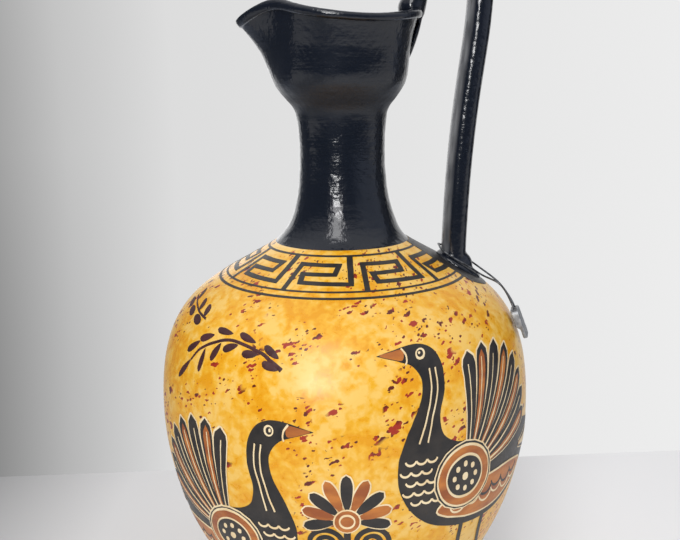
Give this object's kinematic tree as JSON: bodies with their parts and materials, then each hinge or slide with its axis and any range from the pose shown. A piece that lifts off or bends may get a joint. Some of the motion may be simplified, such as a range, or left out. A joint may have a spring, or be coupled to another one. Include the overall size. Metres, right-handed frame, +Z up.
{
  "type": "wine jug",
  "caption": "Pottery wine jug with an egg-shaped body, ring foot, slim neck, pinched beak spout, high-swung handle and a wired lead seal.",
  "frame": {"origin": "centre of the flat ring that the jug stands on, on the jug's axis", "axes": "+Z up along the jug's axis, spout towards -X, handle on the +X side"},
  "size_m": [0.14, 0.14, 0.2696],
  "materials": {
    "black_slip": "gloss",
    "ochre_ground": "satin",
    "steel_wire": "satin",
    "lead": "matte"
  },
  "bodies": {
    "jug": {"foot": "black_slip", "body": "ochre_ground", "neck": "black_slip", "mouth": "black_slip", "handle": "black_slip"},
    "seal": {"seal_wire": "steel_wire", "lead_seal": "lead"}
  },
  "joints": [
    {"name": "seal_lift", "type": "hinge", "parent": "jug", "child": "seal", "pos_m": [0.0368, 0, 0.1518], "axis": [0, -1, 0], "range_deg": [0, 60]}
  ]
}
